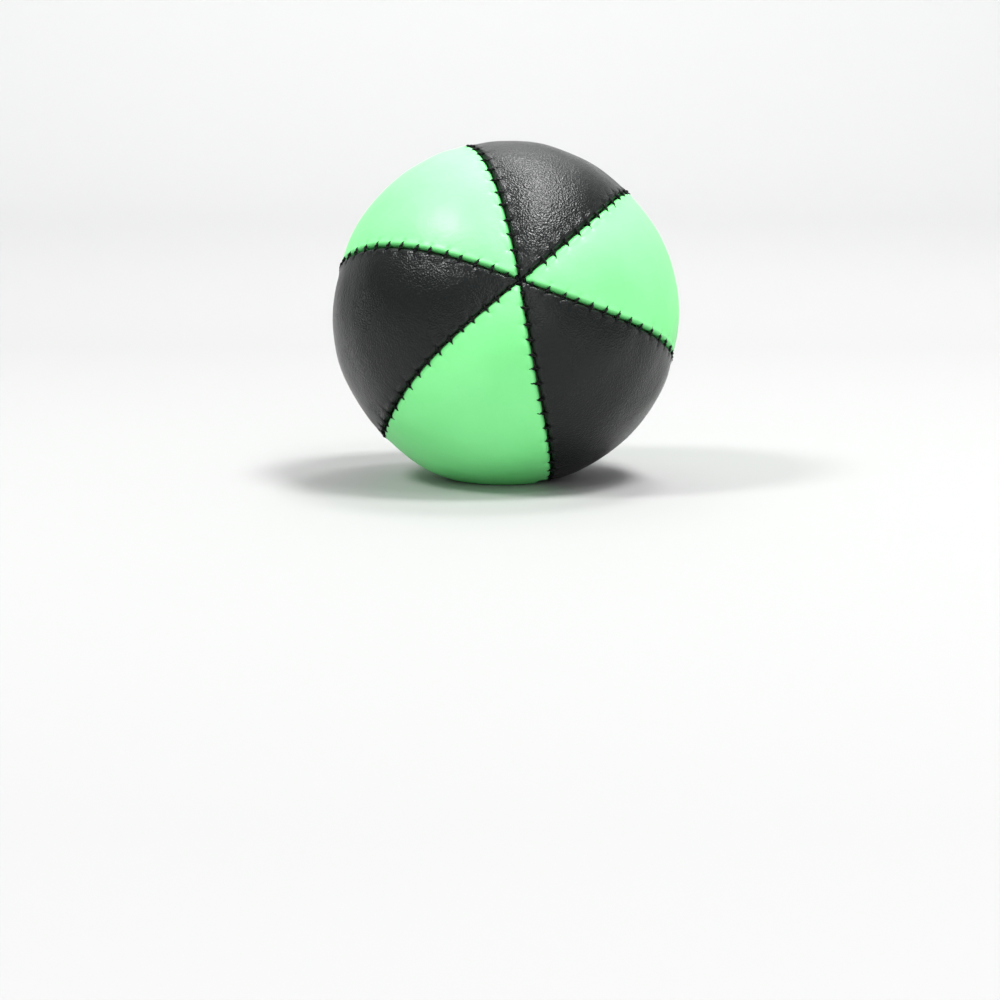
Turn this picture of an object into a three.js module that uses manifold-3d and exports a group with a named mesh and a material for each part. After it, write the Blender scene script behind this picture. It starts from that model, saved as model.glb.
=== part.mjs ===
// A hand-stitched juggling ball: six leather gores with turned-under hems, whip-stitched edge to
// edge round a cloth bag of millet. It lies on a small pressed flat, as a filled ball does.
// Millimetres, +Z up. The origin is on the floor, under the middle of the ball.
import * as THREE from "three";
import { mergeVertices } from "three/addons/utils/BufferGeometryUtils.js";
import Module from "manifold-3d";

const wasm = await Module();
wasm.setup();

// ---- Driving dimensions, in millimetres ----
const BALL_DIAMETER = 65; // over the crowned middles of the gores
const PANEL_COUNT = 6; // even, so that the two colours alternate
const LEATHER = 0.9; // synthetic leather with its cloth backing
const HEM = 2.3; // width of the edge that is turned under
const SEAM_GAP = 0.3; // between two folded edges
const CROWN = 0.35; // how far a gore's middle stands above its seams
const FOLD_RADIUS = 0.4; // of the folded edge's rounding, so the seam is a furrow this deep
const TIP_HOLE_RADIUS = 1.2; // the six cut tips leave this hole at each pole

const THREAD_DIAMETER = 0.5;
const STITCH_PITCH = 3.35;
const STITCH_REACH = 1.5; // from the seam to a stitch hole
const STITCH_SLANT = 0.4; // how far a stitch leans along the seam as it crosses
const STITCH_CROWDING = 0.12; // share by which the pitch closes up at the poles
const FIRST_STITCH = 2.4; // from the pole, along the seam
const HOLE_CLEARANCE = 0.06; // round the thread, where its hole opens at the outer face
const AWL_LENGTH = 20; // of the tapered square point that the holes are made with
const THREAD_CLEARANCE = 0.15; // between a stitch and the leather that it lies on
const UNDER_CLEARANCE = 0.45; // between the thread and the hems that it passes under
const TAIL_END = 1.4; // from the pole to where a thread's tail ends, under the leather
const KNOT_CLEARANCE = 0.3; // between a pole knot and the tips round it
const KNOT_TIGHTNESS = 0.75; // share of the thread's diameter that is left in a pulled knot

const TIP_HEM_SHARE = 0.8; // of a gore's width, which its two hems may fill near a pole
const TIP_STITCH_SHARE = 0.52; // of a gore's half width, which a stitch may take near a pole

const BAG_CLOTH = 0.4;
const BAG_CLEARANCE = 0.75; // to the leather, the thread and the millet
const BAG_BULGE_START = 1.5; // from the seam; the bag bulges up to the leather from here
const BAG_BULGE_END = 5.8;
const MOUTH_LENGTH = 14; // the slit that the bag is filled through
const MOUTH_WIDTH = 1.3;
const MOUTH_CUT = 3; // how far past the bag's face the slit is cut, to both sides
const MOUTH_THREAD_DIAMETER = 0.3;
const MOUTH_STITCHES = 6;

const PRESS_DEPTH = 1.7; // how far the ball sinks on to its flat
const PRESS_BLEND = 0.4; // half height of the rounding at the flat's rim
const FLOOR_GAP = 0.15; // between the floor and the stitches inside the flat

// The front star, where the seams meet, is sewn a little off the ball's axis, and the seams turn
// about the axis as they leave it.
const STAR_UP = -1.8;
const STAR_REACH = 36; // how far round it the seams are pulled along
const SEAM_TWIST = 4.8; // how far they have turned at the ball's widest, in degrees

// How the ball was set down, in degrees.
const AXIS_LIFT = 19.2; // the front end of the axis above the horizon
const AXIS_YAW = 4.7; // the front end's turn from -Y towards +X
const SEAM_ROLL = 38.6; // the first seam's turn about the axis, from the horizon

// Facets: how finely the curved faces are divided.
const STITCHES_PER_ROW = 2;
const MIDDLE_COLUMNS = 5;
const BAG_ROWS = 12;
const BAG_COLUMNS_PER_PANEL = 4;

// ---- Colours ----
const GREEN_LEATHER = new THREE.MeshStandardMaterial({ color: 0x35f05a, roughness: 0.5 });
const BLACK_LEATHER = new THREE.MeshStandardMaterial({ color: 0x17191a, roughness: 0.42 });
const BLACK_THREAD = new THREE.MeshStandardMaterial({ color: 0x0c0d0d, roughness: 0.6 });
const BAG_COTTON = new THREE.MeshStandardMaterial({ color: 0xe9e4d6, roughness: 0.95 });
const MILLET = new THREE.MeshStandardMaterial({ color: 0xd9b35f, roughness: 0.7 });

// ---- Values that follow from the driving dimensions ----
const RADIUS = BALL_DIAMETER / 2;
const CENTRE_HEIGHT = RADIUS - PRESS_DEPTH;
const PANEL_ANGLE = (2 * Math.PI) / PANEL_COUNT;
const TIP_ANGLE = TIP_HOLE_RADIUS / RADIUS;
const HEM_THICKNESS = 2 * LEATHER;
const THREAD_RADIUS = THREAD_DIAMETER / 2;
const HOLE_HALF = THREAD_RADIUS + HOLE_CLEARANCE;
const OVER_HEIGHT = THREAD_RADIUS + THREAD_CLEARANCE; // a stitch's middle over the leather
const UNDER_DEPTH = HEM_THICKNESS + UNDER_CLEARANCE + THREAD_RADIUS; // and under the hems
const BAG_DEPTH_AT_SEAM = UNDER_DEPTH + THREAD_RADIUS + 2 * BAG_CLEARANCE;
const BAG_DEPTH_AT_MIDDLE = LEATHER + BAG_CLEARANCE;
const HEM_END = HEM + LEATHER / 2; // from the seam to where the leather is single again
const SEAM_RELIEF = FLOOR_GAP + THREAD_RADIUS + OVER_HEIGHT; // keeps a seam off the floor
const SEAM_STITCHES = Math.floor((Math.PI * RADIUS - 2 * FIRST_STITCH) / STITCH_PITCH) + 1;

// The ball's own frame has its axis on Y, front end up, with Z level and X up when it lies on the
// floor. This turns it to how it lies.
const lift = THREE.MathUtils.degToRad(AXIS_LIFT);
const yaw = THREE.MathUtils.degToRad(AXIS_YAW);
const front = new THREE.Vector3(
  Math.cos(lift) * Math.sin(yaw),
  -Math.cos(lift) * Math.cos(yaw),
  Math.sin(lift),
);
const sideways = new THREE.Vector3(0, 0, 1).cross(front).normalize();
const upwards = new THREE.Vector3().crossVectors(front, sideways);
const LIE = new THREE.Quaternion().setFromRotationMatrix(
  new THREE.Matrix4().makeBasis(upwards, front, sideways),
);

const { lerp, smoothstep } = THREE.MathUtils;

// Half the width of a gore at a colatitude, measured along the ball to the seam's middle.
const halfWidth = (colatitude) => (RADIUS * Math.sin(colatitude) * PANEL_ANGLE) / 2;

// The outer face's radius at a distance from the nearest seam.
function outerRadius(colatitude, fromSeam) {
  const half = Math.max(halfWidth(colatitude), 1e-6);
  const share = Math.min(1, fromSeam / half);
  const crownDrop = CROWN * Math.min(1, half / (2 * HEM)) * (1 - share) ** 2;
  const foldDrop = FOLD_RADIUS * (1 - smoothstep(fromSeam, 0, FOLD_RADIUS));
  return RADIUS - crownDrop - foldDrop;
}

// The floor, as a layer at this depth under the leather's outer face meets it.
function press(point, depth, fromSeam) {
  const relief = SEAM_RELIEF * (1 - smoothstep(fromSeam, HEM, HEM_END));
  const over = point.z - (relief + depth - CENTRE_HEIGHT);
  if (over < -PRESS_BLEND) point.z -= over;
  else if (over < PRESS_BLEND) point.z += (over + PRESS_BLEND) ** 2 / (4 * PRESS_BLEND) - over;
  return point;
}

// A point of the ball: an angle round the axis, a colatitude and a depth under the outer face.
function ballPoint(azimuth, colatitude, depth) {
  const twist = SEAM_TWIST * smoothstep(colatitude, 0, Math.PI / 2);
  const turned = azimuth + THREE.MathUtils.degToRad(SEAM_ROLL + twist);
  const point = new THREE.Vector3().setFromSphericalCoords(1, colatitude, turned);
  const pull = 1 - smoothstep(colatitude * RADIUS, 0, STAR_REACH);
  point.x += (pull * STAR_UP) / RADIUS;
  const inPanel = THREE.MathUtils.euclideanModulo(azimuth, PANEL_ANGLE);
  const fromSeamAngle = Math.min(inPanel, PANEL_ANGLE - inPanel);
  const fromSeam = fromSeamAngle * RADIUS * Math.sin(colatitude);
  point.setLength(outerRadius(colatitude, fromSeam) - depth);
  return press(point.applyQuaternion(LIE), depth, fromSeam);
}

// A point beside a seam: along it as a colatitude, across it in millimetres, and its depth.
function seamPoint(seam, colatitude, across, depth) {
  const azimuth = seam * PANEL_ANGLE + across / (RADIUS * Math.sin(colatitude));
  return ballPoint(azimuth, colatitude, depth);
}

// Moves each vertex of a closed three.js geometry to where place(vertex) says.
function shaped(geometry, place) {
  const bare = geometry.clone();
  bare.deleteAttribute("normal");
  bare.deleteAttribute("uv");
  const merged = mergeVertices(bare, 1e-5);
  const positions = merged.getAttribute("position");
  const vertex = new THREE.Vector3();
  for (let i = 0; i < positions.count; i++) {
    vertex.fromBufferAttribute(positions, i);
    positions.setXYZ(i, ...place(vertex).toArray());
  }
  return merged;
}

function toSolid(geometry) {
  const merged = mergeVertices(geometry, 1e-5);
  return new wasm.Manifold(
    new wasm.Mesh({
      numProp: 3,
      vertProperties: new Float32Array(merged.getAttribute("position").array),
      triVerts: new Uint32Array(merged.index.array),
    }),
  );
}

function toGeometry(solid) {
  const mesh = solid.getMesh();
  const geometry = new THREE.BufferGeometry();
  geometry.setAttribute("position", new THREE.BufferAttribute(mesh.vertProperties, 3));
  geometry.setIndex(new THREE.BufferAttribute(mesh.triVerts, 1));
  geometry.computeVertexNormals();
  return geometry;
}

// ---- Leather gores ----

// Where a gore's columns lie, from one folded edge to the other, with the leather's thickness.
function panelColumns(colatitude) {
  const half = halfWidth(colatitude) - SEAM_GAP / 2;
  const squeeze = Math.min(1, (TIP_HEM_SHARE * half) / HEM_END);
  const edge = [
    [0, HEM_THICKNESS - FOLD_RADIUS],
    [FOLD_RADIUS * squeeze, HEM_THICKNESS],
    [HEM * squeeze, HEM_THICKNESS],
    [HEM_END * squeeze, lerp(HEM_THICKNESS, LEATHER, squeeze ** 4)],
  ];
  const [inner, thickness] = edge[edge.length - 1];
  const columns = edge.map(([across, thick]) => [across - half, thick]);
  for (let i = 1; i <= MIDDLE_COLUMNS; i++) {
    const share = i / (MIDDLE_COLUMNS + 1);
    columns.push([lerp(inner - half, half - inner, share), thickness]);
  }
  return columns.concat(edge.reverse().map(([across, thick]) => [half - across, thick]));
}

// The colatitudes of a gore's rows. They pass between the stitches.
function panelRows() {
  const rows = [TIP_ANGLE];
  for (let stitch = STITCHES_PER_ROW; stitch < SEAM_STITCHES; stitch += STITCHES_PER_ROW) {
    rows.push(stitchColatitude(stitch - 0.5));
  }
  return rows.concat(Math.PI - TIP_ANGLE);
}

// A gore is a box bent over the ball: its width runs round the pole, its height from pole to
// pole and its depth through the leather.
function panelSolid(panel) {
  const rows = panelRows();
  const rowSteps = rows.length - 1;
  const columnSteps = panelColumns(Math.PI / 2).length - 1;
  const box = new THREE.BoxGeometry(1, 1, 1, columnSteps, rowSteps, 1);
  const bent = shaped(box, ({ x, y, z }) => {
    const colatitude = rows[Math.round((0.5 - y) * rowSteps)];
    const [across, thickness] = panelColumns(colatitude)[Math.round((x + 0.5) * columnSteps)];
    const middle = (panel + 0.5) * PANEL_ANGLE;
    const azimuth = middle + across / (RADIUS * Math.sin(colatitude));
    return ballPoint(azimuth, colatitude, z > 0 ? 0 : thickness);
  });
  return toSolid(bent);
}

// ---- Stitches ----

// Where a stitch crosses its seam. The pitch closes up a little towards each pole.
function stitchColatitude(stitch) {
  const share = stitch / (SEAM_STITCHES - 1);
  const crowded = share - (STITCH_CROWDING * Math.sin(2 * Math.PI * share)) / (2 * Math.PI);
  const first = FIRST_STITCH / RADIUS;
  return lerp(first, Math.PI - first, crowded);
}

// Stitches are shorter where the gores narrow towards a pole.
const stitchReach = (colatitude) =>
  Math.min(STITCH_REACH, TIP_STITCH_SHARE * halfWidth(colatitude));

// The two ends of a stitch, before the seam (side -1) and after it (side 1).
function stitchEnd(stitch, side) {
  const colatitude = stitchColatitude(stitch) + (side * STITCH_SLANT) / 2 / RADIUS;
  return { colatitude, across: side * stitchReach(colatitude) };
}

// The awl's square hole through the hem at one end of a stitch, as the long point that cuts it.
function stitchHole(seam, stitch, side) {
  const { colatitude, across } = stitchEnd(stitch, side);
  const top = seamPoint(seam, colatitude, across, -OVER_HEIGHT);
  const bottom = seamPoint(seam, colatitude, across, UNDER_DEPTH);
  const beside = seamPoint(seam, colatitude, across + 1, -OVER_HEIGHT);
  const inward = bottom.sub(top).normalize();
  const alongSeam = inward.clone().cross(beside.sub(top)).normalize();
  const acrossSeam = alongSeam.clone().cross(inward);
  const length = AWL_LENGTH + OVER_HEIGHT;
  const widest = (HOLE_HALF * length) / AWL_LENGTH;
  const awl = new THREE.ConeGeometry(Math.SQRT2 * widest, length, 4, 1, false, Math.PI / 4);
  const turn = new THREE.Matrix4().makeBasis(alongSeam, inward, acrossSeam);
  const middle = top.addScaledVector(inward, length / 2);
  return toSolid(shaped(awl, (corner) => corner.applyMatrix4(turn).add(middle)));
}

// One whip-stitch thread: over the seam, down a hole, back under both hems and up the next. Its
// two tails lie under the seam and end beside the pole knots.
function seamThread(seam) {
  const tail = TAIL_END / RADIUS;
  const points = [seamPoint(seam, tail, 0, UNDER_DEPTH)];
  for (let stitch = 0; stitch < SEAM_STITCHES; stitch++) {
    const from = stitchEnd(stitch, -1);
    const to = stitchEnd(stitch, 1);
    for (const [end, depth] of [
      [from, UNDER_DEPTH],
      [from, -OVER_HEIGHT],
      [to, -OVER_HEIGHT],
      [to, UNDER_DEPTH],
    ])
      points.push(seamPoint(seam, end.colatitude, end.across, depth));
  }
  points.push(seamPoint(seam, Math.PI - tail, 0, UNDER_DEPTH));
  return cordThrough(points, THREAD_RADIUS);
}

// A four-sided cord through points, mitred at each, made from a segmented cylinder.
function cordThrough(points, radius) {
  const steps = points.length - 1;
  const runs = points.slice(1).map((point, i) => point.clone().sub(points[i]).normalize());
  const frames = points.map((point, i) => {
    const arriving = runs[Math.max(0, i - 1)];
    const leaving = runs[Math.min(steps - 1, i)];
    const along = arriving.clone().add(leaving).normalize();
    const bend = leaving.clone().sub(arriving).normalize();
    return { point, along, bend, mitre: 1 / along.dot(leaving) };
  });
  // The side direction is carried along the cord so that its section doesn't twist.
  let side = frames[0].along.clone().cross(frames[0].point).normalize();
  for (const frame of frames) {
    side = side.clone().addScaledVector(frame.along, -side.dot(frame.along)).normalize();
    frame.side = side;
    frame.other = frame.along.clone().cross(side);
  }
  // A mitre widens the section in the plane of the bend.
  return shaped(new THREE.CylinderGeometry(1, 1, 1, 4, steps), ({ x, y, z }) => {
    const { point, side, other, bend, mitre } = frames[Math.round((0.5 - y) * steps)];
    const offset = side.clone().multiplyScalar(x * radius).addScaledVector(other, z * radius);
    return offset.addScaledVector(bend, offset.dot(bend) * (mitre - 1)).add(point);
  });
}

// ---- What is inside ----

// The cloth bag dips under the hems and bulges into the gores.
function bagDepth(colatitude, azimuth) {
  const inPanel = THREE.MathUtils.euclideanModulo(azimuth, PANEL_ANGLE);
  const fromSeam = Math.min(inPanel, PANEL_ANGLE - inPanel) * RADIUS * Math.sin(colatitude);
  const bulge = smoothstep(fromSeam, BAG_BULGE_START, BAG_BULGE_END);
  return lerp(BAG_DEPTH_AT_SEAM, BAG_DEPTH_AT_MIDDLE, bulge);
}

// A closed layer of the filling, this far under the bag's outer face.
function innerSolid(underBag) {
  const sphere = new THREE.SphereGeometry(1, PANEL_COUNT * BAG_COLUMNS_PER_PANEL, BAG_ROWS);
  return toSolid(
    shaped(sphere, (direction) => {
      const { phi, theta } = new THREE.Spherical().setFromVector3(direction);
      return ballPoint(theta, phi, bagDepth(phi, theta) + underBag);
    }),
  );
}

// The bag's mouth is behind the second gore, which faces up, towards the rear pole.
const MOUTH_AZIMUTH = 1.5 * PANEL_ANGLE;
const MOUTH_COLATITUDE = (2 * Math.PI) / 3;

// A point beside the mouth: along the slit, across it, and its depth under the bag's face.
function mouthPoint(along, across, underBag) {
  const colatitude = MOUTH_COLATITUDE + along / RADIUS;
  const azimuth = MOUTH_AZIMUTH + across / (RADIUS * Math.sin(colatitude));
  return ballPoint(azimuth, colatitude, BAG_DEPTH_AT_MIDDLE + underBag);
}

// The mouth is sewn shut by a thread that zigzags between its two lips, within the cloth.
function mouthThread() {
  const points = [];
  const swing = MOUTH_WIDTH / 2 - MOUTH_THREAD_DIAMETER;
  const run = MOUTH_LENGTH - 4 * MOUTH_THREAD_DIAMETER;
  for (let i = 0; i <= 2 * MOUTH_STITCHES; i++) {
    const along = (i / (2 * MOUTH_STITCHES) - 0.5) * run;
    points.push(mouthPoint(along, i % 2 ? swing : -swing, BAG_CLOTH / 2));
  }
  return cordThrough(points, MOUTH_THREAD_DIAMETER / 2);
}

function innerBag() {
  const slit = shaped(new THREE.BoxGeometry(MOUTH_WIDTH, MOUTH_LENGTH, 1), ({ x, y, z }) =>
    mouthPoint(-y, x, z > 0 ? -MOUTH_CUT : MOUTH_CUT),
  );
  return innerSolid(0).subtract(innerSolid(BAG_CLOTH)).subtract(toSolid(slit));
}

// ---- Knots ----

// The thread ends are tied off in an overhand knot that sits in the hole between the tips.
function poleKnot() {
  const pulledRadius = KNOT_TIGHTNESS * THREAD_RADIUS;
  const reach = TIP_HOLE_RADIUS - KNOT_CLEARANCE - pulledRadius;
  // The middle of a torus knot's tube reaches out to one and a half times its radius.
  return new THREE.TorusKnotGeometry(reach / 1.5, pulledRadius, 24, 4, 2, 3);
}

// ---- Assembly ----
const ball = new THREE.Group();
ball.position.z = CENTRE_HEIGHT;

function addPiece(name, geometry, material) {
  const mesh = new THREE.Mesh(geometry, material);
  mesh.name = name;
  ball.add(mesh);
  return mesh;
}

for (let panel = 0; panel < PANEL_COUNT; panel++) {
  const holes = [];
  for (let stitch = 0; stitch < SEAM_STITCHES; stitch++) {
    holes.push(stitchHole(panel, stitch, 1), stitchHole(panel + 1, stitch, -1));
  }
  const drilled = holes.reduce((solid, hole) => solid.subtract(hole), panelSolid(panel));
  const [colour, leather] = panel % 2 ? ["green", GREEN_LEATHER] : ["black", BLACK_LEATHER];
  addPiece(`panel_${colour}_${Math.floor(panel / 2) + 1}`, toGeometry(drilled), leather);
}
for (let seam = 0; seam < PANEL_COUNT; seam++) {
  addPiece(`seam_thread_${seam + 1}`, seamThread(seam), BLACK_THREAD);
}
for (const [name, colatitude] of [
  ["pole_knot_front", 0],
  ["pole_knot_rear", Math.PI],
]) {
  const knot = addPiece(name, poleKnot(), BLACK_THREAD);
  knot.position.copy(ballPoint(0, colatitude, LEATHER));
  knot.quaternion.setFromUnitVectors(new THREE.Vector3(0, 0, 1), knot.position.clone().normalize());
}
addPiece("inner_bag", toGeometry(innerBag()), BAG_COTTON);
addPiece("bag_closing_thread", mouthThread(), BAG_COTTON);
addPiece("millet_fill", toGeometry(innerSolid(BAG_CLOTH + BAG_CLEARANCE)), MILLET);

export default ball;
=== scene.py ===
"""A hand-stitched beanbag juggling ball that lies on a pale studio floor.

The ball's pieces are made in millimetres round the ball's middle, by the same rule as the CAD
solids that they replace, and are put in the shared frame, in metres, when their mesh is made.
"""
import math

import bpy
import numpy as np
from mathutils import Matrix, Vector, kdtree


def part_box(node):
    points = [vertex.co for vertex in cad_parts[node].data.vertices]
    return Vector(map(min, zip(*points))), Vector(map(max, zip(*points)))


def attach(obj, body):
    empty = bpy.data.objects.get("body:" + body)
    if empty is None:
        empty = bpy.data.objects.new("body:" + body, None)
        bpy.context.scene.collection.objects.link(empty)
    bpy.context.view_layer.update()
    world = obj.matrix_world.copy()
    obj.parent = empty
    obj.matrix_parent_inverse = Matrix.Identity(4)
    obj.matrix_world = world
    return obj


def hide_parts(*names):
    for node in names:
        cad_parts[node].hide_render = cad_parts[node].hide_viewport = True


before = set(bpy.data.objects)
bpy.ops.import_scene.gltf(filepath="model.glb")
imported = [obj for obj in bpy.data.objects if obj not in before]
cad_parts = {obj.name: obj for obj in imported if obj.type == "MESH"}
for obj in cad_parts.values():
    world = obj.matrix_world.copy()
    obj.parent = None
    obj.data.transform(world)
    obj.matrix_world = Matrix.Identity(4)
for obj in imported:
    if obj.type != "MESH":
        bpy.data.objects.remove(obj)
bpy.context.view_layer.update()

# ---- Dimensions in millimetres, as in the CAD model ----
RADIUS = 32.5
PANEL_COUNT = 6
PANEL_ANGLE = 2 * math.pi / PANEL_COUNT
LEATHER = 0.9
HEM = 2.3
HEM_END = 2.75
CROWN = 0.35
SEAM_STITCHES = 30
FIRST_STITCH = 2.4
STITCH_CROWDING = 0.12
STITCH_REACH = 1.5
STITCH_SLANT = 0.4
TIP_STITCH_SHARE = 0.52
BAG_DEPTH_AT_SEAM = 4.25
BAG_DEPTH_AT_MIDDLE = 1.65
BAG_BULGE_START = 1.5
BAG_BULGE_END = 5.8
BAG_CLOTH = 0.4
MILLET_DEPTH = 1.15  # under the bag's outer face
MOUTH_LENGTH = 14
PRESS_DEPTH = 1.7
PRESS_BLEND = 0.4
SEAM_RELIEF = 0.8
CENTRE_HEIGHT = RADIUS - PRESS_DEPTH
STAR_UP = -1.8
STAR_REACH = 36
SEAM_TWIST = math.radians(4.8)
AXIS_LIFT = math.radians(19.2)
AXIS_YAW = math.radians(4.7)
SEAM_ROLL = math.radians(38.6)

# ---- Finer dimensions that only the looks have ----
HALF_GAP = 0.11  # from a seam's middle to a folded edge
FOLD_WIDTH = 0.75  # over which a folded edge rounds off
TIP_START = (0.5, 1.15)  # from the pole to where a black and a green gore's tip ends
TIP_DIVE = 0.7  # how far the tips curl in under the knot
STRAND_RADIUS = 0.15  # of each of the thread's two plies
STRAND_OFFSET = 0.115  # from the thread's middle to a ply's middle
TWIST_LENGTH = 1.5  # of one full turn of the two plies
THREAD_END = 0.045  # in radians, from the pole to where a seam's thread begins
THREAD_RUN = (2.3, 0.8)  # inside, from stitch to stitch: how deep, and how thick a share
SEED_SPACING = 2.0
SEED_SPHERE = 29  # about the radius of the filling
SEED_REACH = 1.25  # from a seed's middle to the bottom of the hollow beside it
SEED_HEIGHT = 0.9
STITCH_SPREAD = {"place": 0.13, "lean": 0.22, "length": 0.08, "pull": 0.3}

random = np.random.default_rng(6)

# ---- The ball's shape ----
FRONT = np.array(
    [
        math.cos(AXIS_LIFT) * math.sin(AXIS_YAW),
        -math.cos(AXIS_LIFT) * math.cos(AXIS_YAW),
        math.sin(AXIS_LIFT),
    ]
)
SIDEWAYS = np.cross([0, 0, 1], FRONT)
SIDEWAYS = SIDEWAYS / np.linalg.norm(SIDEWAYS)
UPWARDS = np.cross(FRONT, SIDEWAYS)


def smoothstep(value, start, end):
    share = np.clip((value - start) / (end - start), 0, 1)
    return share * share * (3 - 2 * share)


def half_width(colatitude):
    return RADIUS * np.sin(colatitude) * PANEL_ANGLE / 2


def distance_from_seam(azimuth, colatitude):
    in_panel = np.mod(azimuth, PANEL_ANGLE)
    return np.minimum(in_panel, PANEL_ANGLE - in_panel) * RADIUS * np.sin(colatitude)


def ball_points(azimuth, colatitude, depth):
    """Points at an angle round the ball's axis, a colatitude and a depth under the outer face."""
    azimuth, colatitude, depth = np.broadcast_arrays(azimuth, colatitude, depth)
    pull = 1 - smoothstep(colatitude * RADIUS, 0, STAR_REACH)
    turned = azimuth + SEAM_ROLL + SEAM_TWIST * smoothstep(colatitude, 0, math.pi / 2)
    up = np.sin(colatitude) * np.sin(turned) + pull * STAR_UP / RADIUS
    side = np.sin(colatitude) * np.cos(turned)
    forward = np.cos(colatitude)
    direction = up[..., None] * UPWARDS + forward[..., None] * FRONT + side[..., None] * SIDEWAYS
    direction = direction / np.linalg.norm(direction, axis=-1, keepdims=True)
    from_seam = distance_from_seam(azimuth, colatitude)
    half = np.maximum(half_width(colatitude), 1e-6)
    share = np.minimum(1, from_seam / half)
    crown_drop = CROWN * np.minimum(1, half / (2 * HEM)) * (1 - share) ** 2
    points = direction * (RADIUS - crown_drop - depth)[..., None]
    # The floor presses each layer flat.
    relief = SEAM_RELIEF * (1 - smoothstep(from_seam, HEM, HEM_END))
    over = points[..., 2] - (relief + np.maximum(depth, 0) - CENTRE_HEIGHT)
    blended = (over + PRESS_BLEND) ** 2 / (4 * PRESS_BLEND)
    rise = np.where(over < -PRESS_BLEND, 0, np.where(over < PRESS_BLEND, blended, over))
    points[..., 2] += rise - over
    return points


def waves(points, count, shortest, longest, height, seed):
    """Smooth random hills of about this height over points, made of sine waves."""
    dice = np.random.default_rng(seed)
    total = np.zeros(points.shape[:-1])
    for _ in range(count):
        direction = dice.normal(size=3)
        direction = direction / np.linalg.norm(direction)
        length = dice.uniform(shortest, longest)
        phase = dice.uniform(0, 2 * math.pi)
        total += np.sin(points @ direction * (2 * math.pi / length) + phase)
    return total * height / math.sqrt(count)


# ---- Where the stitches are ----
def stitch_colatitude(stitch):
    share = stitch / (SEAM_STITCHES - 1)
    crowded = share - STITCH_CROWDING * np.sin(2 * math.pi * share) / (2 * math.pi)
    first = FIRST_STITCH / RADIUS
    return first + (math.pi - 2 * first) * crowded


# Each seam was sewn by hand, so its stitches differ a little in place, length and lean.
STITCH_INDEX = np.arange(SEAM_STITCHES)
SHAPE = (PANEL_COUNT, SEAM_STITCHES)
misplaced = np.clip(random.normal(0, STITCH_SPREAD["place"], SHAPE), -0.3, 0.3)
stitch_at = stitch_colatitude(STITCH_INDEX) + misplaced / RADIUS
stitch_slant = STITCH_SLANT + np.clip(random.normal(0, STITCH_SPREAD["lean"], SHAPE), -0.45, 0.45)
shortened = np.minimum(STITCH_REACH, TIP_STITCH_SHARE * half_width(stitch_at))


def stitch_reaches(side):
    """How far the stitches reach to one side of each seam: a little further on green leather."""
    green = np.arange(PANEL_COUNT)[:, None] % 2 == (1 if side > 0 else 0)
    share = random.normal(0.74, STITCH_SPREAD["length"], SHAPE) + 0.08 * green
    return shortened * np.clip(share, 0.6, 0.96)


stitch_reach = {side: stitch_reaches(side) for side in (-1, 1)}
stitch_pull = np.clip(random.normal(1, STITCH_SPREAD["pull"], SHAPE), 0.4, 1.7)


# ---- Meshes ----
def make_object(name, points, faces, material):
    """A smooth mesh object from points in millimetres round the ball's middle."""
    placed = (np.asarray(points, float).reshape(-1, 3) + [0, 0, CENTRE_HEIGHT]) * 0.001
    mesh = bpy.data.meshes.new(name)
    mesh.from_pydata(placed.tolist(), [], faces)
    mesh.polygons.foreach_set("use_smooth", [True] * len(mesh.polygons))
    mesh.materials.append(material)
    mesh.update()
    piece = bpy.data.objects.new(name, mesh)
    bpy.context.scene.collection.objects.link(piece)
    return piece


def add_attribute(piece, name, values):
    data = piece.data.attributes.new(name, "FLOAT", "POINT")
    data.data.foreach_set("value", np.asarray(values, np.float32).ravel())


def finish_piece(piece, node):
    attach(piece, "root")
    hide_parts(node)


def grid_faces(rows, columns, start=0, wrap=False):
    """Quads between the rows of a grid of vertices, whose columns may run in a ring."""
    last_column = columns if wrap else columns - 1
    row, column = np.meshgrid(np.arange(rows - 1), np.arange(last_column), indexing="ij")
    beside = (column + 1) % columns
    corners = [row * columns + column, row * columns + beside]
    corners += [(row + 1) * columns + beside, (row + 1) * columns + column]
    return (np.stack(corners, -1).reshape(-1, 4) + start).tolist()


# ---- Leather gores ----
FOLD_ANGLES = np.radians([90, 68, 48, 30, 14, 0])
UNDER_ANGLES = np.radians([90, 112, 132, 150, 166, 180])
OUTER_STEPS = np.array([1.12, 1.3, 1.5, 1.7, 1.95, 2.3, 2.8, 3.4, 4.2])
HEM_STEPS = np.array([1.2, 1.5, 1.8, 2.1, 2.3, 2.5, HEM_END, 3.4, 4.2])
HEM_SHARE = np.array([1, 1, 1, 1, 1, 0.55, 0, 0, 0])
MIDDLE_COLUMNS = 21
ROW_PLACES = np.array([-0.5, -0.34, -0.22, -0.13, -0.06, 0, 0.06, 0.13, 0.22, 0.34])


def panel_rows(tip_start):
    """The colatitudes of a gore's rows, close together at each stitch, and each one's stitch."""
    places = (STITCH_INDEX[:, None] + ROW_PLACES).ravel()
    nearest = np.repeat(STITCH_INDEX, len(ROW_PLACES))
    rows = stitch_colatitude(places)
    kept = np.minimum(rows, math.pi - rows) * RADIUS > tip_start + 0.15
    rows = np.concatenate([[tip_start / RADIUS], rows[kept], [math.pi - tip_start / RADIUS]])
    return rows, np.concatenate([[0], nearest[kept], [SEAM_STITCHES - 1]])


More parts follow.
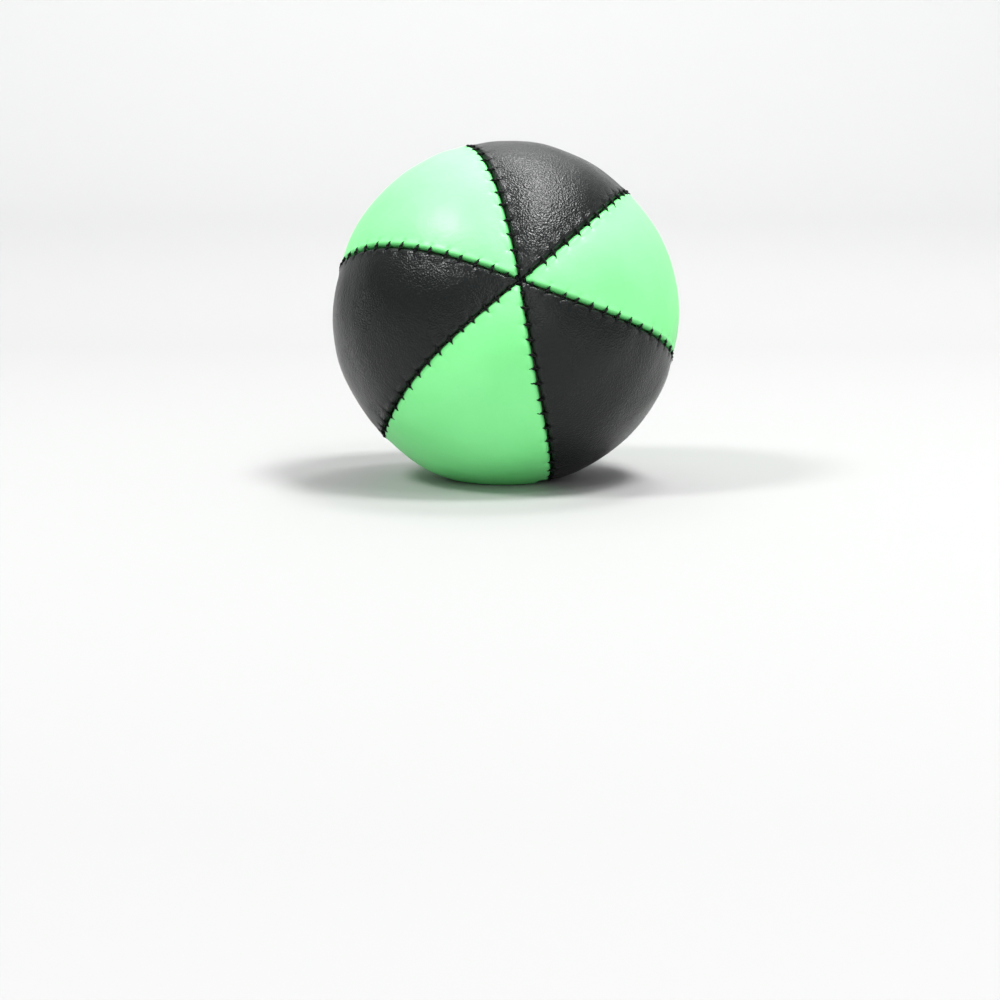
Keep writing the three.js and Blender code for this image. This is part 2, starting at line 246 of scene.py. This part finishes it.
def edge_profile(half, angles, steps, thick_share):
    """How far in from a gore's edge its columns lie, and how deep, from the fold inwards."""
    fold = np.minimum(FOLD_WIDTH, 0.35 * half)[:, None]
    squeeze = np.minimum(1, (0.85 * half[:, None] - fold) / (steps[-1] - FOLD_WIDTH))
    single = LEATHER * (1 + (1 - np.minimum(1, 0.8 * half / HEM_END) ** 4))[:, None]
    inward = np.concatenate([fold * (1 - np.sin(angles)), fold + (steps - FOLD_WIDTH) * squeeze], 1)
    round_fold = np.broadcast_to(LEATHER * (1 - np.cos(angles)), (len(half), len(angles)))
    if thick_share is None:
        beyond = np.zeros((len(half), len(steps)))
    else:
        beyond = single + (2 * LEATHER - single) * thick_share
    return inward, np.concatenate([round_fold, beyond], 1)


def stitch_relief(seam, side, nearest, colatitude, inward):
    """How far one seam's stitches raise the leather beside it, and how far they push its edge back."""
    at = stitch_at[seam, nearest][:, None]
    reach = stitch_reach[side][seam, nearest][:, None]
    lean = side * stitch_slant[seam, nearest][:, None] / 2
    pull = stitch_pull[seam, nearest][:, None]
    along = (colatitude - at) * RADIUS - lean * np.minimum(inward / reach, 1.2)
    pitch = np.gradient(stitch_colatitude(STITCH_INDEX.astype(float)))[nearest][:, None] * RADIUS
    between = (1 - np.cos(2 * math.pi * np.clip(along / pitch, -0.5, 0.5))) / 2
    under_thread = np.exp(-((along / 0.33) ** 2))
    under_thread = under_thread * (1 - smoothstep(inward, reach - 0.15, reach + 0.35))
    hole = np.exp(-(along**2 + (inward - reach) ** 2) / 0.4**2)
    crease = np.exp(-((along / 0.5) ** 2)) * np.exp(-np.maximum(inward - reach, 0) / 1.9)
    crease = crease * smoothstep(inward, reach - 0.3, reach + 0.3)
    puff = (0.4 + 0.6 * between) * np.exp(-(((inward - 0.75) / 0.6) ** 2))
    small = np.minimum(1, reach / STITCH_REACH)
    rise = 0.13 * puff - 0.1 * under_thread - 0.1 * hole * small - 0.035 * crease * pull * small
    notch = np.exp(-((along / 0.42) ** 2)) * np.exp(-inward / 0.6)
    retreat = 0.03 * between * np.exp(-inward / 0.8) + 0.24 * notch * small
    return rise, retreat


def panel_piece(panel, name, material, slot):
    tip_start = TIP_START[panel % 2]
    rows, nearest = panel_rows(tip_start)
    half = half_width(rows) - HALF_GAP
    outer_edge = edge_profile(half, FOLD_ANGLES, OUTER_STEPS, None)
    under_edge = edge_profile(half, UNDER_ANGLES, HEM_STEPS, HEM_SHARE)

    def whole_width(edge):
        inward, depth = edge
        share = np.arange(1, MIDDLE_COLUMNS + 1) / (MIDDLE_COLUMNS + 1)
        first, last = inward[:, -1:], 2 * half[:, None] - inward[:, -1:]
        middle = first + (last - first) * share
        across = np.concatenate([inward, middle, 2 * half[:, None] - inward[:, ::-1]], 1)
        flat = np.repeat(depth[:, -1:], MIDDLE_COLUMNS, 1)
        return across, np.concatenate([depth, flat, depth[:, ::-1]], 1)

    def placed(across, depth, stitched):
        """The points of one face of the gore, across from its first edge."""
        from_first = across + HALF_GAP
        from_second = 2 * half[:, None] - across + HALF_GAP
        # The rows lean with the stitches near each edge.
        lean_first = np.minimum(from_first / STITCH_REACH, 1) * (1 - smoothstep(from_first, 2, 8))
        lean_second = np.minimum(from_second / STITCH_REACH, 1) * (1 - smoothstep(from_second, 2, 8))
        small = np.minimum(1, half[:, None] / 6)
        lean = STITCH_SLANT / 2 / RADIUS * (lean_first - lean_second) * small
        colatitude = rows[:, None] + lean
        first, retreat_first = stitch_relief(panel, 1, nearest, colatitude, from_first)
        second_seam = (panel + 1) % PANEL_COUNT
        second, retreat_second = stitch_relief(second_seam, -1, nearest, colatitude, from_second)
        from_middle = across - half[:, None] + retreat_first - retreat_second
        middle = (panel + 0.5) * PANEL_ANGLE
        azimuth = middle + from_middle / (RADIUS * np.sin(colatitude))
        from_pole = np.minimum(rows, math.pi - rows) * RADIUS
        dive = TIP_DIVE * (1 - smoothstep(from_pole, tip_start, tip_start + 1.3))
        bare = ball_points(azimuth, colatitude, depth)
        quiet = smoothstep(np.minimum(from_first, from_second), 0, 3)
        swell = waves(bare, 14, 9, 24, 0.1, 31 + panel) + waves(bare, 18, 3, 7, 0.014, 57 + panel)
        rise = (first + second if stitched else 0) + swell * (0.35 + 0.65 * quiet)
        return ball_points(azimuth, colatitude, depth - rise + dive[:, None])

    across, outer_depth = whole_width(outer_edge)
    outer = placed(across, outer_depth, True)
    under_across, under_depth = whole_width(under_edge)
    under = placed(under_across, under_depth, False)
    under[:, 0], under[:, -1] = outer[:, 0], outer[:, -1]
    # Each row is a ring: the outer face one way and the under face back.
    ring = np.concatenate([outer, under[:, -2:0:-1]], 1)
    count, columns = ring.shape[:2]
    faces = grid_faces(count, columns, wrap=True)
    width = outer.shape[1]
    for start, flip in ((0, False), ((count - 1) * columns, True)):
        for column in range(width - 1):
            back, next_back = (columns - column) % columns, columns - column - 1
            cap = [start + column, start + column + 1, start + next_back, start + back]
            cap = list(dict.fromkeys(cap))
            faces.append(cap if flip else cap[::-1])
    faces = [face[::-1] for face in faces]
    piece = make_object(name, ring, faces, material)
    edge_distance = np.minimum(across, 2 * half[:, None] - across)
    under_distance = np.minimum(under_across, 2 * half[:, None] - under_across)[:, -2:0:-1]
    add_attribute(piece, "seam_distance", np.concatenate([edge_distance, under_distance], 1))
    finish_piece(piece, f"panel_{slot.split('_')[0]}_{panel // 2 + 1}")
    return piece


# ---- Threads ----
def smooth_path(points, steps):
    """A Catmull-Rom curve through points, with this many steps from each to the next."""
    points = np.asarray(points, float)
    ends = np.concatenate([[2 * points[0] - points[1]], points, [2 * points[-1] - points[-2]]])
    before, start, end, after = ends[:-3], ends[1:-2], ends[2:-1], ends[3:]
    share = (np.arange(steps) / steps)[None, :, None]
    before, start, end, after = (corner[:, None, :] for corner in (before, start, end, after))
    curve = 2 * start + (end - before) * share
    curve = curve + (2 * before - 5 * start + 4 * end - after) * share**2
    curve = curve + (3 * start - before - 3 * end + after) * share**3
    return np.concatenate([(curve / 2).reshape(-1, 3), points[-1:]])


def twisted_thread(path, strand_radius, strand_offset, twist_length, width=None, sides=6):
    """Points and faces of a two-ply thread along a path, which may be pulled thin in places."""
    width = np.ones(len(path)) if width is None else width
    along = np.gradient(path, axis=0)
    along = along / np.linalg.norm(along, axis=1, keepdims=True)
    side = np.cross(along[0], path[0])
    sides_along = []
    for direction in along:
        side = side - direction * (side @ direction)
        side = side / np.linalg.norm(side)
        sides_along.append(side)
    side = np.array(sides_along)
    other = np.cross(along, side)
    run = np.concatenate([[0], np.cumsum(np.linalg.norm(np.diff(path, axis=0), axis=1))])
    turn = run * 2 * math.pi / twist_length
    points, faces = [], []
    around = np.arange(sides) * 2 * math.pi / sides
    for ply in (0, math.pi):
        outward = side * np.cos(turn + ply)[:, None] + other * np.sin(turn + ply)[:, None]
        middle = path + outward * (strand_offset * width)[:, None]
        ring = side[:, None] * np.cos(around)[:, None] + other[:, None] * np.sin(around)[:, None]
        tube = middle[:, None] + ring * (strand_radius * width)[:, None, None]
        tube[0] = middle[0] + (tube[0] - middle[0]) * 0.35
        tube[-1] = middle[-1] + (tube[-1] - middle[-1]) * 0.35
        start = sum(len(part) for part in points)
        faces += grid_faces(len(path), sides, start, wrap=True)
        faces.append([start + k for k in range(sides)][::-1])
        faces.append([start + (len(path) - 1) * sides + k for k in range(sides)])
        points.append(tube.reshape(-1, 3))
    return np.concatenate(points), faces


# A stitch's path: shares of the way out to its holes, and how deep the thread's middle is.
# The thread is thickest over the seam, and is pulled thin at its holes.
OVER_SHARES = np.array([-1.07, -1.05, -0.97, -0.75, -0.4, 0, 0.4, 0.75, 0.97, 1.05, 1.07])
OVER_DEPTHS = np.array([1.9, 0.9, 0.4, 0.2, 0.06, 0, 0.06, 0.2, 0.4, 0.9, 1.9])


def seam_thread(seam, name, material):
    places = [(THREAD_END, 0.0, *THREAD_RUN)]
    for stitch in STITCH_INDEX:
        at, lean = stitch_at[seam, stitch], stitch_slant[seam, stitch] / 2 / RADIUS
        for share, depth in zip(OVER_SHARES, OVER_DEPTHS):
            side = -1 if share < 0 else 1
            reach = stitch_reach[side][seam, stitch]
            places.append((at + lean * share, share * reach, depth, 1.3 - 0.7 * abs(share)))
        if stitch < SEAM_STITCHES - 1:
            step = stitch_at[seam, stitch + 1] - at
            leaving = 0.5 * stitch_reach[1][seam, stitch]
            arriving = -0.5 * stitch_reach[-1][seam, stitch + 1]
            places.append((at + step * 0.3, leaving, *THREAD_RUN))
            places.append((at + step * 0.7, arriving, *THREAD_RUN))
    places.append((math.pi - THREAD_END, 0.0, *THREAD_RUN))
    colatitude, across, depth, width = np.array(places).T
    azimuth = seam * PANEL_ANGLE + across / (RADIUS * np.sin(colatitude))
    path = smooth_path(ball_points(azimuth, colatitude, depth), 3)
    width = np.interp(np.arange(len(path)) / 3, np.arange(len(width)), width)
    points, faces = twisted_thread(path, STRAND_RADIUS, STRAND_OFFSET, TWIST_LENGTH, width)
    piece = make_object(name, points, faces, material)
    finish_piece(piece, name)
    return piece


def pole_knot(name, material):
    """An overhand knot with two short cut tails, pulled down between the tips."""
    low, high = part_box(name)
    middle = np.array((low + high) / 2) * 1000 - [0, 0, CENTRE_HEIGHT]
    outward = middle / np.linalg.norm(middle)
    side = np.cross(outward, [0, 0, 1])
    side = side / np.linalg.norm(side)
    other = np.cross(outward, side)
    turn = np.linspace(0.3, 2 * math.pi - 0.3, 70)
    reach = 0.36 * (1.9 + np.cos(5 * turn))
    weave = 0.34 * np.sin(5 * turn)
    loop = np.stack([0.85 * reach * np.cos(3 * turn), reach * np.sin(3 * turn), weave], 1)
    tail = np.array([[2.0, 0.9, 0.1], [1.5, 0.7, 0.35]])
    other_tail = np.array([[1.3, -1.0, 0.4], [1.9, -1.3, 0.15]])
    flat = np.concatenate([tail, loop, other_tail])
    knot = flat[:, :1] * side + flat[:, 1:2] * other + (flat[:, 2:] + 0.1) * outward + middle
    points, faces = twisted_thread(smooth_path(knot, 4), 0.17, 0.13, 1.5)
    piece = make_object(name, points, faces, material)
    finish_piece(piece, name)
    return piece


# ---- What is inside ----
def bag_depth(azimuth, colatitude):
    from_seam = distance_from_seam(azimuth, colatitude)
    bulge = smoothstep(from_seam, BAG_BULGE_START, BAG_BULGE_END)
    return BAG_DEPTH_AT_SEAM + (BAG_DEPTH_AT_MIDDLE - BAG_DEPTH_AT_SEAM) * bulge


MOUTH_AZIMUTH = 1.5 * PANEL_ANGLE
MOUTH_COLATITUDE = 2 * math.pi / 3


def bag_piece(material):
    """The cotton bag: a shell with a slit, whose two lips are drawn together by their thread."""
    columns, rows = 144, 98
    colatitude = np.linspace(0.02, math.pi - 0.02, rows)[:, None]
    azimuth = (np.arange(columns) * 2 * math.pi / columns)[None, :]
    bare = ball_points(azimuth, colatitude, 2)
    crumple = waves(bare, 16, 4, 11, 0.09, 5)
    from_mouth = (azimuth - MOUTH_AZIMUTH) * RADIUS * np.sin(colatitude)
    along_mouth = (colatitude - MOUTH_COLATITUDE) * RADIUS
    beside = np.exp(-((from_mouth / 1.8) ** 2)) * (1 - smoothstep(abs(along_mouth), 6, 8.5))
    gathers = 0.16 * np.sin(along_mouth * 2 * math.pi / 1.17) * beside
    points = ball_points(azimuth, colatitude, bag_depth(azimuth, colatitude) - crumple - gathers)
    faces = np.array(grid_faces(rows, columns, wrap=True))[:, ::-1]
    slit_column = round(MOUTH_AZIMUTH / (2 * math.pi) * columns)
    slit_rows = np.flatnonzero(np.abs(along_mouth[:, 0]) < MOUTH_LENGTH / 2)
    points = points.reshape(-1, 3)
    # The slit: each of its vertices is doubled, and the two are moved apart and turned in.
    old = slit_rows * columns + slit_column
    opening = 0.45 * np.sqrt(1 - (along_mouth[slit_rows, 0] / (MOUTH_LENGTH / 2)) ** 2)
    at = colatitude[slit_rows, 0]
    lips = []
    for way in (-1, 1):
        lip_azimuth = MOUTH_AZIMUTH + way * opening / (RADIUS * np.sin(at))
        lips.append(ball_points(lip_azimuth, at, bag_depth(lip_azimuth, at) + 0.25))
    points[old] = lips[0]
    new = len(points) + np.arange(len(old))
    points = np.concatenate([points, lips[1]])
    renamed = dict(zip(old.tolist(), new.tolist()))
    after = set((slit_rows * columns + slit_column + 1).tolist())
    sewn = []
    for face in faces.tolist():
        beyond = any(corner in after for corner in face)
        sewn.append([renamed.get(corner, corner) if beyond else corner for corner in face])
    sewn.append(list(range(columns)))
    sewn.append([(rows - 1) * columns + k for k in range(columns)][::-1])
    piece = make_object("inner_bag", points, sewn, material)
    thickness = piece.modifiers.new("cloth thickness", "SOLIDIFY")
    thickness.thickness = BAG_CLOTH * 0.001
    thickness.offset = -1
    finish_piece(piece, "inner_bag")
    return piece


def mouth_thread(material):
    places = []
    stitches = 12
    run = MOUTH_LENGTH - 1.2
    for k in range(stitches + 1):
        along = (k / stitches - 0.5) * run
        for across, depth, forward in ((-1, 0.5, 0), (-0.8, -0.1, 0), (0.8, -0.1, 0.2), (1, 0.5, 0.25)):
            places.append((MOUTH_COLATITUDE + (along + forward) / RADIUS, across, depth))
    colatitude, across, depth = np.array(places).T
    azimuth = MOUTH_AZIMUTH + across / (RADIUS * np.sin(colatitude))
    path = smooth_path(ball_points(azimuth, colatitude, BAG_DEPTH_AT_MIDDLE + depth), 4)
    points, faces = twisted_thread(path, 0.09, 0.07, 0.9)
    piece = make_object("bag_closing_thread", points, faces, material)
    finish_piece(piece, "bag_closing_thread")
    return piece


def millet_piece(material):
    """The outside of the filling: a closed surface of packed seeds."""
    columns, rows = 190, 110
    colatitude = np.linspace(0.015, math.pi - 0.015, rows)[:, None]
    azimuth = (np.arange(columns) * 2 * math.pi / columns)[None, :]
    depth = bag_depth(azimuth, colatitude) + MILLET_DEPTH
    bare = ball_points(azimuth, colatitude, depth).reshape(-1, 3)
    seed_count = int(4 * math.pi * SEED_SPHERE**2 / (0.9 * SEED_SPACING**2))
    place = np.arange(seed_count) + 0.5
    tilt = np.arccos(1 - 2 * place / seed_count)
    turn = math.pi * (1 + 5**0.5) * place
    seeds = np.stack([np.sin(tilt) * np.cos(turn), np.sin(tilt) * np.sin(turn), np.cos(tilt)], 1)
    seeds = SEED_SPHERE * seeds + random.normal(0, 0.16, seeds.shape)
    tree = kdtree.KDTree(seed_count)
    for index, seed in enumerate(seeds):
        tree.insert(seed, index)
    tree.balance()
    on_sphere = bare / np.linalg.norm(bare, axis=1, keepdims=True) * SEED_SPHERE
    away = np.array([tree.find(point)[2] for point in on_sphere])
    hollow = SEED_HEIGHT * (1 - np.sqrt(np.clip(1 - (away / SEED_REACH) ** 2, 0.05, 1)))
    points = ball_points(azimuth, colatitude, depth + hollow.reshape(rows, columns))
    faces = [face[::-1] for face in grid_faces(rows, columns, wrap=True)]
    faces.append(list(range(columns)))
    faces.append([(rows - 1) * columns + k for k in range(columns)][::-1])
    piece = make_object("millet_fill", points, faces, material)
    finish_piece(piece, "millet_fill")
    return piece


# ---- Materials ----
def new_material(name):
    material = bpy.data.materials.new(name)
    material.use_nodes = True
    nodes, links = material.node_tree.nodes, material.node_tree.links
    return material, nodes, links, nodes["Principled BSDF"]


def add_node(nodes, kind, place, **values):
    node = nodes.new("ShaderNode" + kind)
    node.location = place
    for key, value in values.items():
        if key in node.inputs:
            node.inputs[key].default_value = value
        else:
            setattr(node, key, value)
    return node


def noise(nodes, links, coordinates, place, per_mm, detail=3, roughness=0.5):
    node = add_node(nodes, "TexNoise", place, Scale=per_mm * 1000, Detail=detail, Roughness=roughness)
    links.new(coordinates.outputs["Object"], node.inputs["Vector"])
    return node


def mapped(nodes, links, source, place, low, high, to_low, to_high):
    node = add_node(nodes, "MapRange", place)
    node.inputs["From Min"].default_value, node.inputs["From Max"].default_value = low, high
    node.inputs["To Min"].default_value, node.inputs["To Max"].default_value = to_low, to_high
    links.new(source, node.inputs["Value"])
    return node


def mixed_colour(nodes, links, factor, place, first, second, blend="MIX"):
    node = nodes.new("ShaderNodeMix")
    node.location = place
    node.data_type, node.blend_type = "RGBA", blend
    for socket, value in ((node.inputs[6], first), (node.inputs[7], second)):
        if isinstance(value, tuple):
            socket.default_value = (*value, 1)
        else:
            links.new(value, socket)
    links.new(factor, node.inputs[0])
    return node


def bump(nodes, links, height, place, strength, distance_mm, below=None):
    node = add_node(nodes, "Bump", place, Strength=strength, Distance=distance_mm * 0.001)
    links.new(height, node.inputs["Height"])
    if below is not None:
        links.new(below.outputs["Normal"], node.inputs["Normal"])
    return node


def leather_material(name, colour, deeper, seam_shade_and_glint, roughness, grain_depth, gloss, coat):
    """Synthetic leather: pebble grain and pores, broad mottling, and a painted band along each seam:
    painted shade of the seam's furrow where its tone is darker, a painted glint of the rolled edge
    where it is lighter.
    """
    material, nodes, links, shader = new_material(name)
    coordinates = add_node(nodes, "TexCoord", (-1500, 0))
    mottle = noise(nodes, links, coordinates, (-1200, 300), 0.06, 4)
    speckle = noise(nodes, links, coordinates, (-1200, 100), 1.4, 2)
    mottle_share = mapped(nodes, links, mottle.outputs["Fac"], (-950, 300), 0.35, 0.7, 0, 1)
    body = mixed_colour(nodes, links, mottle_share.outputs[0], (-700, 300), colour, deeper)
    fleck_share = mapped(nodes, links, speckle.outputs["Fac"], (-950, 100), 0.66, 0.74, 0, 0.55)
    flecked = mixed_colour(nodes, links, fleck_share.outputs[0], (-500, 300), body.outputs[2], deeper)
    # Near each seam the colour is mixed towards a second tone: painted shade of the seam's furrow on
    # green leather, a painted glint of the rolled edge on black leather.
    seam = add_node(nodes, "Attribute", (-1200, -500), attribute_name="seam_distance")
    edge = mapped(nodes, links, seam.outputs["Fac"], (-950, -500), 0.05, 0.9, 0.75, 0)
    painted_seam_band = mixed_colour(nodes, links, edge.outputs[0], (-300, 300), flecked.outputs[2], seam_shade_and_glint)
    links.new(painted_seam_band.outputs[2], shader.inputs["Base Color"])
    pebble = add_node(nodes, "TexVoronoi", (-1200, -100), feature="SMOOTH_F1")
    pebble.inputs["Scale"].default_value = 2900
    pebble.inputs["Smoothness"].default_value = 0.35
    links.new(coordinates.outputs["Object"], pebble.inputs["Vector"])
    wrinkle = noise(nodes, links, coordinates, (-1200, -300), 0.45, 5, 0.6)
    first = bump(nodes, links, wrinkle.outputs["Fac"], (-700, -300), 0.35, 0.25)
    second = bump(nodes, links, pebble.outputs["Distance"], (-450, -200), grain_depth, 0.08, first)
    links.new(second.outputs["Normal"], shader.inputs["Normal"])
    smoother, rougher = roughness - 0.05, roughness + 0.07
    finish = mapped(nodes, links, mottle.outputs["Fac"], (-700, 0), 0.3, 0.7, smoother, rougher)
    links.new(finish.outputs[0], shader.inputs["Roughness"])
    shader.inputs["Specular IOR Level"].default_value = gloss
    shader.inputs["Coat Weight"].default_value = coat
    shader.inputs["Coat Roughness"].default_value = 0.24
    links.new(second.outputs["Normal"], shader.inputs["Coat Normal"])
    return material


def thread_material(name, colour, light, per_mm):
    """Spun thread: fine fibres along it, with a little fuzz that catches the light."""
    material, nodes, links, shader = new_material(name)
    coordinates = add_node(nodes, "TexCoord", (-1200, 0))
    fibres = noise(nodes, links, coordinates, (-900, 0), per_mm, 4, 0.7)
    share = mapped(nodes, links, fibres.outputs["Fac"], (-650, 100), 0.45, 0.75, 0, 1)
    tint = mixed_colour(nodes, links, share.outputs[0], (-400, 100), colour, light)
    links.new(tint.outputs[2], shader.inputs["Base Color"])
    fuzz = bump(nodes, links, fibres.outputs["Fac"], (-400, -200), 0.5, 0.05)
    links.new(fuzz.outputs["Normal"], shader.inputs["Normal"])
    shader.inputs["Roughness"].default_value = 0.7
    shader.inputs["Specular IOR Level"].default_value = 0.2
    return material


def cotton_material():
    """Plain-woven cotton: crossing rows of yarn, with slubs and a warm unbleached tint."""
    material, nodes, links, shader = new_material("bag cotton")
    coordinates = add_node(nodes, "TexCoord", (-1500, 0))
    rows = []
    for place, direction in ((150, "X"), (-150, "Z")):
        yarn = add_node(nodes, "TexWave", (-1200, place), bands_direction=direction, Scale=640)
        yarn.inputs["Distortion"].default_value = 0.6
        links.new(coordinates.outputs["Object"], yarn.inputs["Vector"])
        rows.append(yarn.outputs["Fac"])
    weave = add_node(nodes, "Math", (-900, 0), operation="MAXIMUM")
    links.new(rows[0], weave.inputs[0])
    links.new(rows[1], weave.inputs[1])
    slub = noise(nodes, links, coordinates, (-1200, -400), 0.5, 4)
    shade = mapped(nodes, links, slub.outputs["Fac"], (-900, -400), 0.4, 0.65, 0, 1)
    pale, dark = (0.72, 0.68, 0.58), (0.6, 0.55, 0.44)
    tint = mixed_colour(nodes, links, shade.outputs[0], (-600, 0), pale, dark)
    links.new(tint.outputs[2], shader.inputs["Base Color"])
    relief = bump(nodes, links, weave.outputs[0], (-600, -250), 0.6, 0.08)
    links.new(relief.outputs["Normal"], shader.inputs["Normal"])
    shader.inputs["Roughness"].default_value = 0.9
    shader.inputs["Sheen Weight"].default_value = 0.2
    return material


def millet_material():
    """Hulled seed: each one a little different in colour, dull, with a fine skin."""
    material, nodes, links, shader = new_material("millet")
    coordinates = add_node(nodes, "TexCoord", (-1200, 0))
    seeds = add_node(nodes, "TexVoronoi", (-900, 0), Scale=520)
    links.new(coordinates.outputs["Object"], seeds.inputs["Vector"])
    tone = add_node(nodes, "SeparateColor", (-700, 0))
    links.new(seeds.outputs["Color"], tone.inputs[0])
    dark, pale = (0.66, 0.44, 0.13), (0.78, 0.58, 0.24)
    tint = mixed_colour(nodes, links, tone.outputs[0], (-450, 0), dark, pale)
    links.new(tint.outputs[2], shader.inputs["Base Color"])
    skin = noise(nodes, links, coordinates, (-900, -300), 3, 3)
    relief = bump(nodes, links, skin.outputs["Fac"], (-450, -250), 0.3, 0.05)
    links.new(relief.outputs["Normal"], shader.inputs["Normal"])
    shader.inputs["Roughness"].default_value = 0.6
    return material


green_leather = leather_material(
    "green leather",
    colour=(0.285, 1.0, 0.36),
    deeper=(0.245, 0.97, 0.315),
    # Darker green along the seams: painted shade of the seam's furrow.
    seam_shade_and_glint=(0.015, 0.36, 0.05),
    roughness=0.42,
    grain_depth=0.12,
    gloss=0.42,
    coat=0.03,
)
black_leather = leather_material(
    "black leather",
    colour=(0.006, 0.008, 0.0075),
    deeper=(0.004, 0.0055, 0.005),
    # Lighter black along the seams: a painted glint of the rolled edges.
    seam_shade_and_glint=(0.02, 0.022, 0.0215),
    roughness=0.27,
    grain_depth=0.95,
    gloss=0.29,
    coat=0.05,
)
black_thread = thread_material("black thread", (0.003, 0.0035, 0.0035), (0.012, 0.0125, 0.013), 6)
bag_thread = thread_material("bag thread", (0.7, 0.66, 0.55), (0.82, 0.79, 0.7), 8)
bag_cotton = cotton_material()
millet = millet_material()

# ---- The ball ----
for panel in range(PANEL_COUNT):
    colour, leather = ("green", green_leather) if panel % 2 else ("black", black_leather)
    name = f"panel_{colour}_{panel // 2 + 1}"
    panel_piece(panel, name, leather, f"{colour}_leather")
for seam in range(PANEL_COUNT):
    seam_thread(seam, f"seam_thread_{seam + 1}", black_thread)
pole_knot("pole_knot_front", black_thread)
pole_knot("pole_knot_rear", black_thread)
bag_piece(bag_cotton)
mouth_thread(bag_thread)
millet_piece(millet)


# ---- Studio ----
def studio_floor():
    """A white sweep: a floor that curves up into a wall far behind the ball."""
    bend_start, bend_radius, wall_top = 0.9, 0.8, 2.6
    near_edge, half_across = -12, 8
    profile = [(near_edge, 0), (-3, 0), (-1, 0), (0, 0), (bend_start, 0)]
    for k in range(1, 25):
        turn = k / 24 * math.pi / 2
        back, rise = bend_radius * math.sin(turn), bend_radius * (1 - math.cos(turn))
        profile.append((bend_start + back, rise))
    profile.append((bend_start + bend_radius, wall_top))
    points = [(x, y, z) for y, z in profile for x in (-half_across, half_across)]
    mesh = bpy.data.meshes.new("studio_floor")
    mesh.from_pydata(points, [], [face[::-1] for face in grid_faces(len(profile), 2)])
    mesh.polygons.foreach_set("use_smooth", [True] * len(mesh.polygons))
    material, nodes, links, shader = new_material("studio white")
    coordinates = add_node(nodes, "TexCoord", (-900, 0))
    place = add_node(nodes, "SeparateXYZ", (-700, 0))
    links.new(coordinates.outputs["Object"], place.inputs[0])
    away = add_node(nodes, "Math", (-600, 0), operation="ABSOLUTE")
    links.new(place.outputs["Y"], away.inputs[0])
    # The floor's tone runs from near to far: painted shade near the ball and painted light far from it,
    # which even out the lamps' light falling off with distance.
    share = mapped(nodes, links, away.outputs[0], (-500, 0), 0.25, 1.5, 0, 1)
    near, far = (0.43, 0.432, 0.428), (0.76, 0.762, 0.758)
    floor_painted_falloff = mixed_colour(nodes, links, share.outputs[0], (-250, 0), near, far)
    links.new(floor_painted_falloff.outputs[2], shader.inputs["Base Color"])
    shader.inputs["Roughness"].default_value = 0.85
    shader.inputs["Specular IOR Level"].default_value = 0.1
    mesh.materials.append(material)
    floor = bpy.data.objects.new("studio_floor", mesh)
    bpy.context.scene.collection.objects.link(floor)


def area_light(name, place, target, size, power):
    light = bpy.data.lights.new(name, "AREA")
    light.shape, light.size, light.energy = "DISK", size, power
    lamp = bpy.data.objects.new(name, light)
    lamp.location = place
    lamp.rotation_mode = "QUATERNION"
    lamp.rotation_quaternion = (Vector(target) - Vector(place)).to_track_quat("-Z", "Y")
    bpy.context.scene.collection.objects.link(lamp)


studio_floor()
ball_middle = Vector((0, 0, CENTRE_HEIGHT * 0.001))
area_light("overhead softbox", (0.31, -0.12, 0.95), ball_middle, 0.25, 8)
area_light("rear softbox", (0.17, 0.33, 0.95), ball_middle, 0.22, 3.8)
area_light("left softbox", (-0.67, -0.29, 0.98), ball_middle, 0.27, 8)
area_light("front softbox", (0.33, -0.43, 0.87), ball_middle, 0.2, 1.6)
area_light("front fill", (0.4, -2.0, 0.7), ball_middle, 1.6, 8.6)
area_light("backdrop light", (0, 1.3, 1.7), (0, 1.9, 0.4), 1.4, 15)

world = bpy.data.worlds.new("studio world")
world.use_nodes = True
world.node_tree.nodes["Background"].inputs["Color"].default_value = (0.97, 0.985, 1, 1)
world.node_tree.nodes["Background"].inputs["Strength"].default_value = 0.42
bpy.context.scene.world = world
bpy.context.scene.view_settings.view_transform = "Standard"

# ---- Camera: a long lens a little above the ball's middle ----
DISTANCE = 16.4 * RADIUS * 0.001
ELEVATION = math.radians(5)
AIM_BELOW = math.radians(3.738)  # so that the ball lies above the picture's middle
AIM_LEFT = math.radians(0.117)
FIELD_OF_VIEW = math.radians(20)
camera_data = bpy.data.cameras.new("camera")
camera_data.sensor_width = 36
camera_data.angle = FIELD_OF_VIEW
camera_data.clip_start, camera_data.clip_end = 0.01, 50
camera = bpy.data.objects.new("camera", camera_data)
camera.location = ball_middle + DISTANCE * Vector((0, -math.cos(ELEVATION), math.sin(ELEVATION)))
dip = ELEVATION + AIM_BELOW
camera.rotation_euler = (math.pi / 2 - dip, 0, AIM_LEFT)
bpy.context.scene.collection.objects.link(camera)
bpy.context.scene.camera = camera
